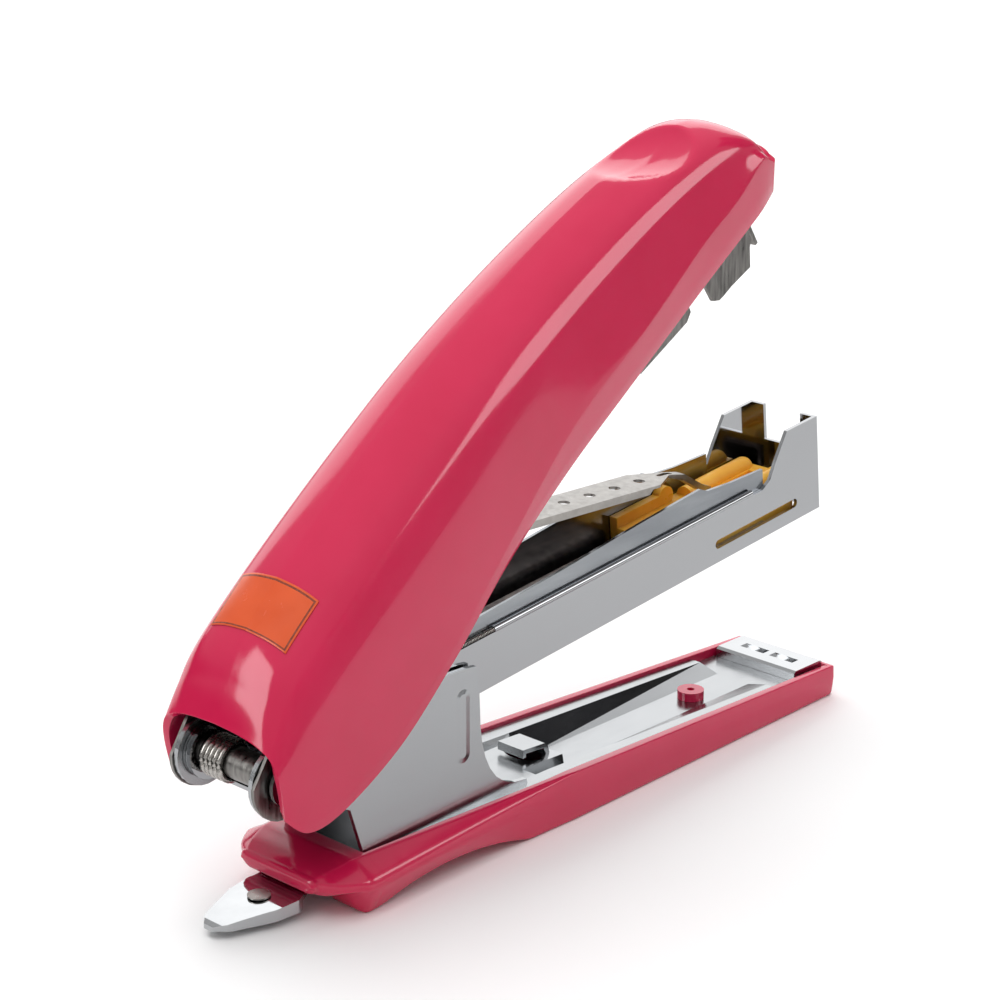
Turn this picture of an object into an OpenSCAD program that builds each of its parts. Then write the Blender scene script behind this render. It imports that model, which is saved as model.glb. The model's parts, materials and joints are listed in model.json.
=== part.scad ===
// Half-strip stapler for small staples, standing open on its base with the loading gap showing.
// +X runs from the hinge to the nose, +Y to the left, +Z up.
// The origin is on the underside, at the middle of the flat front pad.

/* [Stance] */
// Height of the hinge axis above the table
pivot_z = 19.15; // [18:0.05:21]
// Distance from the origin back to the hinge axis
pivot_back = 68; // [66:0.5:70]
// Upward tilt of the magazine at rest, degrees
magazine_tilt = 6.2; // [5:0.1:8]
// Upward tilt of the handle at rest, degrees
handle_tilt = 33.1; // [30:0.1:36]

/* [Base] */
// Distance from the hinge axis to the front end of the base
base_reach = 98.6; // [97:0.1:100]
// Half width of the base at its front end
base_front_half = 8.1; // [7.8:0.1:8.6]
// Half width of the base at its rear corners
base_rear_half = 10.2; // [9.8:0.1:10.6]
// Thickness of the pressed steel frame
frame_sheet = 0.6; // [0.5:0.05:0.7]
// Half width over the upright cheeks of the frame
cheek_half = 6.4; // [6.3:0.05:6.6]

/* [Magazine] */
// Length of the magazine from the hinge axis
magazine_length = 96.9; // [95:0.1:97]
// Half width over the outer channel
magazine_half = 5.4; // [5.2:0.05:5.5]
// Thickness of the outer channel sheet
channel_sheet = 0.5; // [0.4:0.05:0.55]
// Thickness of the inner liner sheet
liner_sheet = 0.4; // [0.3:0.05:0.45]
// Bottom of the magazine below the hinge axis
magazine_drop = 3.2; // [3:0.1:3.5]
// Height of the tall front walls above the hinge axis
front_wall_top = 9.7; // [9:0.1:10]

/* [Pusher] */
// Length of the pusher
pusher_length = 26; // [22:0.5:28]
// Front face of the pusher, from the hinge axis
pusher_front = 92.6; // [91:0.1:93]

/* [Handle] */
// Length of the handle from the hinge axis to the nose
handle_length = 99.2; // [98:0.1:100]
// Wall thickness of the handle cover
cover_wall = 0.85; // [0.7:0.05:0.9]
// Widest half width of the handle cover
cover_half = 10.05; // [9.9:0.05:10.2]
// Thickness of the driver arm sheet
arm_sheet = 0.45; // [0.4:0.05:0.5]

/* [Hidden] */

pink = [0.80, 0.16, 0.30];
steel = [0.74, 0.76, 0.78];
dark_steel = [0.45, 0.43, 0.40];
amber = [0.93, 0.60, 0.12];
label_orange = [0.92, 0.38, 0.10];

pin_r = 1.5;                    // hinge pin
running_gap = 0.05;             // radial clearance on the hinge pin
pin_hole_r = pin_r + running_gap;
pin_end = 7.35;                 // half length of the hinge pin between its heads
round_fn = 48;

// ---------- shared helpers ----------

module at_hinge() {
    translate([-pivot_back, 0, pivot_z]) children();
}

module on_floor() {
    translate([-pivot_back, 0, 0]) children();
}

module in_magazine() {
    at_hinge() rotate([0, -magazine_tilt, 0]) children();
}

module in_handle() {
    at_hinge() rotate([0, -handle_tilt, 0]) children();
}

module both_sides() {
    children();
    mirror([0, 1, 0]) children();
}

// A flat plate standing along the length: points are [along, up], from y_low to y_high.
module side_plate(points, y_low, y_high) {
    translate([0, y_high, 0]) rotate([90, 0, 0]) linear_extrude(y_high - y_low) polygon(points);
}

// A rod across the object at [along, up].
module cross_rod(along, up, r, y_low, y_high) {
    translate([along, y_high, up]) rotate([90, 0, 0]) cylinder(r = r, h = y_high - y_low, $fn = round_fn);
}

// A rod along the object.
module long_rod(from, to, y, up, r) {
    translate([from, y, up]) rotate([0, 90, 0]) cylinder(r = r, h = to - from, $fn = round_fn);
}

// A flat slot outline with round ends, lying along X, as a solid from z_low to z_high.
module slot_solid(from, to, y, r, z_low, z_high) {
    translate([from, y - r, z_low]) cube([to - from, 2 * r, z_high - z_low]);
    for (end = [from, to])
        translate([end, y, z_low]) cylinder(r = r, h = z_high - z_low, $fn = round_fn);
}

// Points of an arc in the plane, in degrees.
function arc(cx, cy, r, a0, a1, steps) =
    [for (k = [0 : steps]) [cx + r * cos(a0 + (a1 - a0) * k / steps), cy + r * sin(a0 + (a1 - a0) * k / steps)]];

// Catmull-Rom value of a list of numbers or points at t in 0..1.
function knot(list, k) = list[max(0, min(len(list) - 1, k))];
function smooth(list, t) =
    let (
        span = t * (len(list) - 1),
        k = min(floor(span), len(list) - 2),
        f = span - k,
        a = knot(list, k - 1),
        b = knot(list, k),
        c = knot(list, k + 1),
        d = knot(list, k + 2)
    )
    b + (c - a) * (f / 2) + (2 * a - 5 * b + 4 * c - d) * (f * f / 2) + (3 * b - a - 3 * c + d) * (f * f * f / 2);

// Closed solid lofted through rings of equal length, each ring a list of points.
module ring_loft(rings) {
    n = len(rings[0]);
    last = len(rings) - 1;
    polyhedron(
        points = [for (ring = rings) for (p = ring) p],
        faces = concat(
            [for (j = [0 : n / 2 - 2]) [j, j + 1, n - 2 - j]],
            [for (j = [0 : n / 2 - 2]) [j, n - 2 - j, n - 1 - j]],
            [for (i = [0 : last - 1]) for (j = [0 : n - 1])
                [i * n + j, (i + 1) * n + j, (i + 1) * n + (j + 1) % n]],
            [for (i = [0 : last - 1]) for (j = [0 : n - 1])
                [i * n + j, (i + 1) * n + (j + 1) % n, i * n + (j + 1) % n]],
            [for (j = [0 : n / 2 - 2]) [last * n + j, last * n + n - 2 - j, last * n + j + 1]],
            [for (j = [0 : n / 2 - 2]) [last * n + j, last * n + n - 1 - j, last * n + n - 2 - j]]
        )
    );
}

// ---------- base ----------

front_rim_z = 4.3;               // top of the base rim at its front end
rim_rise = 0.04;                 // the rim climbs this much for each millimetre rearward
lip_x = 5.3;                     // rear end of the base
foot_x = 9.6;                    // rear end of the rear foot
arch_from = 13;                  // finger arch under the base
arch_to = 37;
arch_rise = 1.8;
plateau_z = 6.5;                 // flat top around the cheeks
plate_drop = 0.45;               // steel plate below the rim
plate_front = base_reach - 1.4;
plate_rear = 12;
wide_from = 41;
pocket_floor = 0.9;
stud_x = 77.5;
anvil_top = 5.0;

arch_half = (arch_to - arch_from) / 2;
arch_r = (arch_half * arch_half + arch_rise * arch_rise) / (2 * arch_rise);

function rim_z(x) = min(plateau_z, front_rim_z + rim_rise * (base_reach - x));
function base_half(x) = base_front_half + (base_rear_half - base_front_half) * (base_reach - x) / (base_reach - 9);
function rear_share(x) = max(0, min(1, (45 - x) / 36));
function ridge_z(x) = rim_z(x) - 0.05 - 1.7 * rear_share(x);
function top_half(x) = (base_half(x) - 0.35) * (1 - rear_share(x)) + (cheek_half + 0.5) * rear_share(x);
// Half width of the steel plate: it tapers in towards the cheeks behind wide_from.
function wide_half(x) = 6.9 + 1.1 * (base_reach - x) / 60;
function plate_half(x) = x > wide_from ? wide_half(x)
    : cheek_half + 0.05 + (wide_half(wide_from) - cheek_half - 0.05) * (x - plate_rear) / (wide_from - plate_rear);

// One cross ring of the base at distance x from the hinge: bottom edge, low ridge, high ridge, top edge.
function base_ring(x, under, bottom, low, low_up, high, high_up, top, top_up) =
    let (half = [[bottom, under], [low, low_up], [high, high_up], [top, top_up]])
    concat([for (p = half) [x, p[0], p[1]]], [for (k = [3 : -1 : 0]) [x, -half[k][0], half[k][1]]]);

function plain_ring(x, under) = base_ring(x, under, base_half(x) - 0.3 - 1.6 * rear_share(x),
    base_half(x), rim_z(x) - 1.8 - 0.9 * rear_share(x), base_half(x) - 0.1 - 0.3 * rear_share(x), ridge_z(x),
    top_half(x), rim_z(x));

base_stations = [17, 24, 32, 40, 50, 62, 80, base_reach - 1];

module base_body() ring_loft(concat(
    [
        base_ring(lip_x, 3.2, 5.2, 6.2, 3.9, 6.4, 4.8, 5.6, 5.3),
        base_ring(lip_x + 1.2, 2.9, 6.4, 8.0, 3.8, 8.1, 4.8, 6.2, 5.8),
        base_ring(lip_x + 3.3, 2.7, 7.0, 9.6, 3.8, 9.7, 4.8, cheek_half + 0.4, 6.3),
        base_ring(foot_x, 0.9, 7.4, base_half(foot_x), 3.8, base_half(foot_x) - 0.3, 4.9, cheek_half + 0.5,
            plateau_z),
        plain_ring(foot_x + 1, 0)
    ],
    [for (x = base_stations) plain_ring(x, 0)],
    [base_ring(base_reach, 0.5, base_front_half - 0.9, base_front_half - 0.5, front_rim_z - 1.8,
        base_front_half - 0.5, front_rim_z - 0.5, base_front_half - 1, front_rim_z - 0.2)]
));

module finger_arch() {
    swing = asin(arch_half / arch_r) + 1;
    side_plate(arc(arch_from + arch_half, arch_rise - arch_r, arch_r, 90 + swing, 90 - swing, 24), -20, 20);
}

deep_from = 42;
step_z = arch_rise + 1.1;
ledge = 0.3;

// Plan of the steel plate, grown by gap.
function plate_plan(gap) =
    let (half = [for (x = [plate_rear, wide_from, plate_front]) [x, plate_half(x) + gap]])
    [
        [plate_rear - gap, -half[0][1]], [wide_from, -half[1][1]], [plate_front + gap, -half[2][1]],
        [plate_front + gap, half[2][1]], [wide_from, half[1][1]], [plate_rear - gap, half[0][1]]
    ];

// Plan of the room under the steel plate, from x_from to the front, narrower than the plate by inset.
module pocket_plan(x_from, inset, front) polygon([
    [x_from, -plate_half(x_from) + inset], [front, -plate_half(front) + inset],
    [front, plate_half(front) - inset], [x_from, plate_half(x_from) - inset]
]);

module base_cover() color(pink) on_floor() {
    difference() {
        base_body();
        finger_arch();
        translate([0, 0, step_z]) linear_extrude(10) polygon(plate_plan(0.12));
        translate([0, 0, pocket_floor]) linear_extrude(step_z) pocket_plan(deep_from, ledge, plate_front - ledge);
        // slot that takes the neck of the staple remover
        translate([lip_x - 1, -3.8, 1.5]) cube([plate_rear - lip_x + 3, 7.6, 3.4]);
    }
    // ribs and post that carry the plate
    for (x = [50, 88])
        translate([x, -plate_half(x), pocket_floor - 0.3]) cube([1.2, 2 * plate_half(x), step_z - pocket_floor + 0.2]);
    translate([stud_x, 0, pocket_floor - 0.3])
        cylinder(r = 2.4, h = trough_z - frame_sheet - 0.03 - pocket_floor + 0.3, $fn = round_fn);
}

function plate_z(x) = rim_z(x) - plate_drop;
tab_x = 45.2;
trough_z = 3.55;                 // floor of the pressed trough, on top
trough_from = 48.6;
trough_half = 5.6;               // half width of the trough between its top edges
trough_floor_half = 2.6;         // half width of its flat floor
lane_from = 41.5;                // the trough runs on rearward in two narrow lanes beside the tab
lane_in = 3.5;
cross_from = 86.3;               // the whole width lies low just behind the anvil
cross_to = 91.7;

// A thin slice across the base at x; points are [across, up].
module cross_slice(x, points) translate([x, 0, 0]) rotate([90, 0, 90]) linear_extrude(0.01) polygon(points);

// Room pressed down between y_low and y_high, flat between floor_low and floor_high, open above.
module pressed_room(x_from, x_to, y_low, y_high, floor_low, floor_high) hull() for (x = [x_from, x_to])
    cross_slice(x, [
        [floor_low, trough_z], [floor_high, trough_z], [y_high, plate_z(x)], [y_high, 9], [y_low, 9],
        [y_low, plate_z(x)]
    ]);

// The sheet round such a room.
module pressed_sheet(x_from, x_to, y_low, y_high, floor_low, floor_high) hull() for (x = [x_from, x_to])
    cross_slice(x, [
        [floor_low, trough_z - frame_sheet], [floor_high, trough_z - frame_sheet],
        [y_high + frame_sheet, plate_z(x) - frame_sheet], [y_high + frame_sheet, plate_z(x) - 0.05],
        [y_low - frame_sheet, plate_z(x) - 0.05], [y_low - frame_sheet, plate_z(x) - frame_sheet]
    ]);

// The steel base plate with its cheeks folded up: one pressing.
module base_frame() color(steel) on_floor() {
    difference() {
        intersection() {
            union() {
                side_plate([
                    [plate_rear, plate_z(plate_rear) - frame_sheet], [plate_front, plate_z(plate_front) - frame_sheet],
                    [plate_front, plate_z(plate_front)], [43.5, plate_z(43.5)], [plate_rear, plate_z(plate_rear)]
                ], -9, 9);
                pressed_sheet(trough_from - frame_sheet, cross_from, -trough_half, trough_half,
                    -trough_floor_half, trough_floor_half);
                both_sides() pressed_sheet(lane_from - frame_sheet, trough_from, lane_in, trough_half - 0.2,
                    lane_in + 0.5, lane_in + 0.9);
                translate([cross_from - frame_sheet, -9, trough_z - frame_sheet])
                    cube([cross_to - cross_from + 2 * frame_sheet, 18, 2 * frame_sheet - 0.1]);
            }
            translate([0, 0, 1]) linear_extrude(8) polygon(plate_plan(0));
        }
        pressed_room(trough_from, cross_from + 0.1, -trough_half, trough_half,
            -trough_floor_half, trough_floor_half);
        both_sides() pressed_room(lane_from, trough_from + 0.1, lane_in, trough_half, lane_in + 0.5, lane_in + 0.9);
        translate([cross_from, -9, trough_z]) cube([cross_to - cross_from, 18, 9]);
        translate([stud_x, 0, 0]) cylinder(r = 1.3, h = 8, $fn = round_fn);
        // oval opening under the lanced tab
        translate([tab_x, 0, 3]) scale([1.9 / 2.7, 1, 1]) cylinder(r = 2.7, h = 6, $fn = round_fn);
    }
    lance_tab();
    both_sides() difference() {
        side_plate(cheek_outline(), cheek_half - frame_sheet, cheek_half);
        cross_rod(0, pivot_z, pin_hole_r, cheek_half - 2, cheek_half + 2);
    }
}

// Small hooked tab lanced up out of the plate over the opening.
module lance_tab() {
    tab_z = plate_z(tab_x);
    side_plate([
        [tab_x - 2.2, tab_z + 0.55], [tab_x - 1.7, tab_z + 0.55], [tab_x - 1.6, tab_z + 1.05],
        [tab_x + 1.5, tab_z + 0.8], [tab_x + 2.2, tab_z - 0.5], [tab_x + 2.7, tab_z - 0.5],
        [tab_x + 2.3, tab_z + 0.9], [tab_x + 1.7, tab_z + 1.4], [tab_x - 2.2, tab_z + 1.65]
    ], -2.1, 2.1);
}

cheek_ear_r = 4.2;

function cheek_outline() = concat(
    [[plate_rear, plate_z(plate_rear) - frame_sheet], [plate_rear, plateau_z + 0.15], [10.2, 12.2]],
    arc(0, pivot_z, cheek_ear_r, 312, 95, 16),
    [[25.7, pivot_z + 4.7], [28.7, pivot_z + 4.6], [30.4, pivot_z + 4.4], [30.9, pivot_z + 1]],
    [for (k = [0 : 8]) [31 + 8 * pow(k / 8, 2.2), 18 - 11.4 * sin(90 * k / 8)]],
    [[39.4, plate_z(39.4) - frame_sheet]]
);

module anvil() color(steel) on_floor() difference() {
    side_plate([
        [91, trough_z + 0.03], [91.5, trough_z + 0.03], [91.6, plate_z(91.6) + 0.02],
        [plate_front - 0.2, plate_z(plate_front) + 0.02], [plate_front - 0.2, anvil_top - 0.15],
        [plate_front - 0.5, anvil_top], [91.4, anvil_top], [91, anvil_top - 0.3]
    ], -6.6, 6.6);
    both_sides() clinch_groove();
}

// Curved pocket that turns one staple leg inward.
module clinch_groove() {
    intersection() {
        translate([93.4, 0.5, anvil_top - 1]) cube([1.4, 3.9, 2]);
        translate([93.4, 2.45, anvil_top + 4.2]) rotate([0, 90, 0]) cylinder(r = 4.65, h = 1.4, $fn = round_fn);
    }
}

// Round end of the plastic post that fixes the steel plate to the base cover.
module plate_stud() color(pink) on_floor() difference() {
    union() {
        translate([stud_x, 0, trough_z + 0.02]) cylinder(r = 1.75, h = 1.15, $fn = round_fn);
        translate([stud_x, 0, trough_z - frame_sheet + 0.02]) cylinder(r = 1.2, h = 1, $fn = round_fn);
    }
    translate([stud_x, 0, trough_z + 0.6]) cylinder(r = 0.5, h = 2, $fn = round_fn);
}

// Outline of one half of the remover tongue, from tip to neck, shrunk by inset.
function tongue_half(inset) = [
    [-5.5 + inset, 0.75 - inset * 0.3], [-4.3 + inset * 0.5, 1.9 - inset], [1.2, 3.9 - inset],
    [4.2, 4.2 - inset], [6.4, 3.4 - inset], [8, 2.9 - inset]
];
function mirrored(points) = [for (k = [len(points) - 1 : -1 : 0]) [points[k][0], -points[k][1]]];
remover_sheet = 0.6;

// Top line of the tongue, from its tip up the S of the neck to its root in the base.
tongue_line = [[-5.6, 1.55], [-4, 1.9], [0, 2.3], [3.6, 2.5], [5.2, 2.75], [6.4, 3.5], [7.4, 4.15], [9, 4.4], [14.5, 4.45]];
function tongue_top(k) = smooth(tongue_line, k / 24);

module staple_remover() color(steel) on_floor() {
    difference() {
        intersection() {
            side_plate(concat(
                [for (k = [0 : 24]) tongue_top(k)],
                [for (k = [24 : -1 : 0]) tongue_top(k) - [-0.45 * max(0, 1 - abs(k - 14) / 4), remover_sheet]]
            ), -5, 5);
            linear_extrude(6) polygon(concat(tongue_half(0), [[15.5, 2.9]], [[15.5, -2.9]], mirrored(tongue_half(0))));
        }
        translate([2, 0, 0]) cylinder(r = 0.75, h = 4, $fn = round_fn);
    }
    // edges folded down
    intersection() {
        difference() {
            linear_extrude(4) polygon(concat(tongue_half(0), mirrored(tongue_half(0))));
            translate([0, 0, -1]) linear_extrude(6) polygon(concat(
                tongue_half(remover_sheet), [[9, 2.3], [9, -2.3]], mirrored(tongue_half(remover_sheet))));
        }
        side_plate([[-5.6, 1.15], [-4, 0.95], [0, 0.9], [5.0, 1.0], [5.2, 2.6], [3.6, 2.3], [0, 2.1], [-4, 1.7],
            [-5.6, 1.3]], -5, 5);
    }
}

module remover_rivet() color(steel) on_floor() {
    translate([2, 0, 1.2]) cylinder(r = 0.7, h = 1.35, $fn = round_fn);
    translate([2, 0, 2.51]) cylinder(r = 1.35, h = 0.16, $fn = round_fn);
}

// ---------- hinge ----------

module pivot_pin() color(steel) at_hinge() {
    cross_rod(0, 0, pin_r, -pin_end, pin_end);
    both_sides() cross_rod(0, 0, 2.5, pin_end, pin_end + 0.5);
}

module ring(r_in, r_out, y_low, y_high) {
    difference() {
        cross_rod(0, 0, r_out, y_low, y_high);
        cross_rod(0, 0, r_in, y_low - 1, y_high + 1);
    }
}

module pivot_washers() color(steel) at_hinge() both_sides()
    ring(pin_hole_r, 3.1, cheek_half - frame_sheet - 0.32, cheek_half - frame_sheet - 0.06);

bush_r = 1.85;
coil_wire_r = 0.35;
coil_r = 2.25;
coil_from = 0.6;
coil_to = 4.5;

// Torsion spring that lifts the magazine: its coil envelope round the bush, with one leg for each part.
module return_spring() color(steel) at_hinge() {
    ring(coil_r - coil_wire_r, coil_r + coil_wire_r, coil_from, coil_to);
    translate([0, coil_to - coil_wire_r, -coil_r]) rotate([0, 90 + 14, 0])
        cylinder(r = coil_wire_r * 0.9, h = 9, $fn = 16);
    translate([0, coil_from + coil_wire_r, coil_r]) rotate([0, 90 - 8, 0])
        cylinder(r = coil_wire_r * 0.9, h = 8, $fn = 16);
}

module pivot_bush() color(dark_steel) at_hinge() ring(pin_hole_r, bush_r, -magazine_half + channel_sheet + 0.06,
    magazine_half - channel_sheet - 0.06);

// ---------- magazine ----------

channel_in = magazine_half - channel_sheet;
liner_out = channel_in - 0.05;
liner_in = liner_out - liner_sheet;
floor_top = -magazine_drop + channel_sheet;
wall_top = 3.4;                  // plain outer wall, below the rolled tube
tube_r = 0.4;                    // rolled tube that holds the pusher spring
tube_y = liner_out + tube_r;
tube_up = wall_top + 0.35;
tube_from = 35;
tube_to = 83;
floor_end = 93.4;
ear_r = magazine_drop;
window_from = 76;
window_to = 91.6;
window_up = -0.75;
window_r = 0.6;

function channel_side() = concat(
    arc(0, 0, ear_r, 270, 90, 12),
    [[6, wall_top], [85.2, wall_top], [86.8, 4.2], [88.2, 6.4], [90.6, front_wall_top],
        [magazine_length, front_wall_top], [magazine_length, -magazine_drop], [6, -magazine_drop]]
);

module side_window(y_low, y_high) {
    side_plate([[window_from, window_up - window_r], [window_to, window_up - window_r],
        [window_to, window_up + window_r], [window_from, window_up + window_r]], y_low, y_high);
    for (end = [window_from, window_to]) cross_rod(end, window_up, window_r, y_low, y_high);
}

module magazine_channel() color(steel) in_magazine() {
    both_sides() {
        difference() {
            side_plate(channel_side(), channel_in, magazine_half);
            cross_rod(0, 0, pin_hole_r, channel_in - 1, magazine_half + 1);
            side_window(channel_in - 1, magazine_half + 1);
        }
        // rolled tube along the wall's top edge
        difference() {
            long_rod(tube_from, tube_to, tube_y, tube_up, tube_r);
            long_rod(tube_from - 1, tube_from + 6, tube_y, tube_up, tube_r - 0.12);
        }
        // flanges turned in at the front
        translate([magazine_length - channel_sheet, 3, -magazine_drop])
            cube([channel_sheet, magazine_half - 3, front_wall_top + magazine_drop]);
    }
    difference() {
        translate([0, -magazine_half, -magazine_drop]) cube([floor_end, 2 * magazine_half, channel_sheet]);
        // slot for the leg of the return spring
        translate([-1, coil_to - 1.1, -magazine_drop - 1]) cube([10.4, 1.3, 2]);
    }
    translate([magazine_length - channel_sheet, -magazine_half, -magazine_drop])
        cube([channel_sheet, 2 * magazine_half, 4.8 + magazine_drop]);
}

// Inner U that guides the staples and rises above the outer walls.
module staple_liner() color(steel) in_magazine() {
    both_sides() difference() {
        side_plate([
            [9, floor_top + 0.03], [86, floor_top + 0.03], [86, 5.9], [79.5, 6.3], [75, 6.8], [73.6, 7.5],
            [62, 7.1], [47, 6.3], [33, 5.9], [30.5, 4.9], [22, 4.9], [12, 4.9], [9, 3]
        ], liner_in, liner_out);
        side_window(liner_in - 1, liner_out + 1);
    }
    translate([9, -liner_out, floor_top + 0.03]) cube([floor_end - 9.4, 2 * liner_out, liner_sheet]);
}

rail_half = 3.35;
rail_top = 1.8;
rail_from = 24;
rail_to = 93.1;
rail_sheet = 0.5;

// Core that the staples straddle: an inverted U with a rounded back.
module staple_rail() color(steel) in_magazine() {
    low = floor_top + liner_sheet + 0.06;
    difference() {
        union() {
            translate([rail_from, -rail_half, low]) cube([rail_to - rail_from, 2 * rail_half, rail_top - 0.8 - low]);
            translate([rail_from, -rail_half + 0.8, low])
                cube([rail_to - rail_from, 2 * rail_half - 1.6, rail_top - low]);
            both_sides() long_rod(rail_from, rail_to, rail_half - 0.8, rail_top - 0.8, 0.8);
        }
        translate([rail_from - 1, -rail_half + rail_sheet, low - 1])
            cube([rail_to - rail_from + 2, 2 * rail_half - 2 * rail_sheet, rail_top - rail_sheet - low + 1]);
    }
}

module rail_rivets() color(steel) in_magazine() for (along = [28, 60]) {
    translate([along, 0, -magazine_drop - 0.25]) cylinder(r = 1.1, h = 0.22, $fn = round_fn);
}

// Two thin tension springs, one in each rolled tube, shown as their outer cylinders.
module pusher_springs() color(dark_steel) in_magazine() both_sides()
    long_rod(25, tube_from + 4, tube_y, tube_up, tube_r - 0.15);

// ---------- pusher ----------

pusher_rear = pusher_front - pusher_length;
deck_low = rail_top + 0.12;
deck_top = 2.75;
skirt_in = rail_half + 0.15;
skirt_out = liner_in - 0.12;
rib_r = 1.35;
rib_y = 2.75;
rib_from = pusher_front - 13.2;
peg_r = 1.4;
peg_at = rib_from - 3.2;
peg_in = 3.15;
rib_end = 1.35;
run_half = 1.2;                  // half width of the groove for the tip of the link

module staple_pusher() color(amber) in_magazine() {
    difference() {
        translate([pusher_rear, -skirt_out, deck_low])
            cube([pusher_length, 2 * skirt_out, deck_top - deck_low]);
        // groove that the tip of the link runs in
        translate([pusher_rear - 1, -run_half, deck_low + 0.4])
            cube([pusher_length - 1, 2 * run_half, deck_top]);
    }
    both_sides() {
        translate([pusher_rear, skirt_in, floor_top + liner_sheet + 0.2])
            cube([pusher_length, skirt_out - skirt_in, deck_top - floor_top - liner_sheet - 0.2]);
        // rounded finger along the front, flat below
        intersection() {
            union() {
                long_rod(rib_from, pusher_front - rib_end, rib_y, deck_top - 0.1, rib_r);
                translate([pusher_front - rib_end, rib_y, deck_top - 0.1]) sphere(r = rib_r, $fn = 32);
            }
            translate([rib_from - 1, 0, deck_low + 0.02]) cube([pusher_front - rib_from + 2, skirt_out, 4]);
        }
        // side wall of the rear pocket, with a round peg at its front
        translate([pusher_rear, peg_in, deck_top - 0.1])
            cube([peg_at - pusher_rear, skirt_out - peg_in, 1.5]);
        cross_rod(peg_at, deck_top + 0.9, peg_r, peg_in, skirt_out);
    }
}

// ---------- handle ----------

// Crown line, lower edge and half width of the cover, station by station from the hinge to the nose.
crown = [
    [1.0, 6.4], [3.2, 9.6], [8.5, 12.2], [20, 14.1], [35, 15.6], [50, 16.5], [65, 16.3], [79, 15.0],
    [89, 12.9], [95, 10.8], [98.6, 7.4], [handle_length + 0.7, 3.3]
];
hem = [
    [-3.5, -1.5], [-2.0, -5.4], [3, -7.4], [13, -8.0], [24, -6.4], [36, -4.1], [50, -2.9], [66, -2.5],
    [80, -2.3], [89, -2.2], [94.5, -2.2], [98.1, -2.2]
];
flank = [9.6, 9.9, cover_half, cover_half, 9.9, 9.6, 9.25, 8.75, 8.2, 7.95, 7.7, 7.0];
crease = [0.07, 0.07, 0.07, 0.07, 0.07, 0.12, 0.26, 0.28, 0.37, 0.43, 0.66, 0.84];
cover_stations = 40;
side_top = 0.76;                 // where the flat side of the cover ends, as a share of its height

// The cheeks of the cover are rounded at the rear; a crease and a flat drafted side run to the nose.
function creased(t) = let (f = max(0, min(1, (t - 0.38) / 0.2))) f * f * (3 - 2 * f);

// Half cross section from hem to crown: [share of half width, share of height].
function rounded_section(c) = [
    [0.95, 0], [0.975, c], [1, 0.36], [0.985, 0.58], [0.94, 0.72], [0.87, 0.82], [0.76, 0.885],
    [0.6, 0.94], [0.33, 0.982], [0, 1]
];
function creased_section(c) = [
    [0.88, 0], [1, c], [0.965, c + (side_top - c) / 3], [0.925, c + (side_top - c) * 2 / 3], [0.885, side_top],
    [0.84, 0.82], [0.75, 0.88], [0.58, 0.935], [0.3, 0.982], [0, 1]
];
function half_section(t) = let (c = smooth(crease, t), f = creased(t))
    [for (k = [0 : 9]) rounded_section(c)[k] * (1 - f) + creased_section(c)[k] * f];

function cover_point(t, share, inset) =
    let (
        top = smooth(crown, t) - [0, inset],
        low = smooth(hem, t),
        half = smooth(flank, t) - inset,
        nose_pull = inset * pow(t, 12),
        along = low[0] + (top[0] - low[0]) * share[1] - nose_pull,
        up = low[1] + (top[1] - low[1]) * share[1]
    )
    [along, half * share[0], up];

function cover_ring(t, inset) =
    let (
        section = half_section(t),
        right = [for (share = section) let (p = cover_point(t, share, inset)) [p[0], -p[1], p[2]]],
        left = [for (k = [len(section) - 2 : -1 : 0]) cover_point(t, section[k], inset)]
    )
    concat(right, left);

// Open shell: outer and inner sheets joined along the lower edges, the rear arch and the nose.
module open_shell(outer, inner) {
    n = len(outer[0]);
    m = len(outer);
    half = (n - 1) / 2;
    polyhedron(
        points = concat([for (ring = outer) for (p = ring) p], [for (ring = inner) for (p = ring) p]),
        faces = concat(
            [for (i = [0 : m - 2]) for (j = [0 : n - 2])
                [i * n + j, i * n + j + 1, (i + 1) * n + j + 1, (i + 1) * n + j]],
            [for (i = [0 : m - 2]) for (j = [0 : n - 2])
                [(m + i) * n + j, (m + i + 1) * n + j, (m + i + 1) * n + j + 1, (m + i) * n + j + 1]],
            [for (j = [0 : n - 2]) [j, (m) * n + j, (m) * n + j + 1, j + 1]],
            [for (i = [0 : m - 2]) [i * n, (i + 1) * n, (m + i + 1) * n, (m + i) * n]],
            [for (i = [0 : m - 2]) [i * n + n - 1, (m + i) * n + n - 1, (m + i + 1) * n + n - 1, (i + 1) * n + n - 1]],
            [for (j = [0 : half - 1]) j == half - 1
                ? [(m - 1) * n + j, (m - 1) * n + j + 1, (m - 1) * n + n - 1 - j]
                : [(m - 1) * n + j, (m - 1) * n + j + 1, (m - 1) * n + n - 2 - j, (m - 1) * n + n - 1 - j]],
            [for (j = [0 : half - 1]) j == half - 1
                ? [(2 * m - 1) * n + j + 1, (2 * m - 1) * n + j, (2 * m - 1) * n + n - 1 - j]
                : [(2 * m - 1) * n + j + 1, (2 * m - 1) * n + j, (2 * m - 1) * n + n - 1 - j,
                    (2 * m - 1) * n + n - 2 - j]],
            [[(m - 1) * n, (m - 1) * n + n - 1, (2 * m - 1) * n + n - 1, (2 * m - 1) * n]]
        )
    );
}

module handle_cover() color(pink) in_handle() open_shell(
    [for (k = [0 : cover_stations]) cover_ring(k / cover_stations, 0)],
    [for (k = [0 : cover_stations]) cover_ring(k / cover_stations, cover_wall)]
);

// Plain coloured sticker on the rear of the crown.
label_from = 0.19;
label_to = 0.245;
label_side = 0.6;
label_gap = 0.3;                 // the cover's facets stay clear of the sticker

// A point of the sticker: share runs from the middle of the crown to the sticker's side edge.
function label_point(t, share, lift) =
    cover_point(t, [share * label_side, 1 - 0.06 * pow(share, 2)], -lift);

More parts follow.
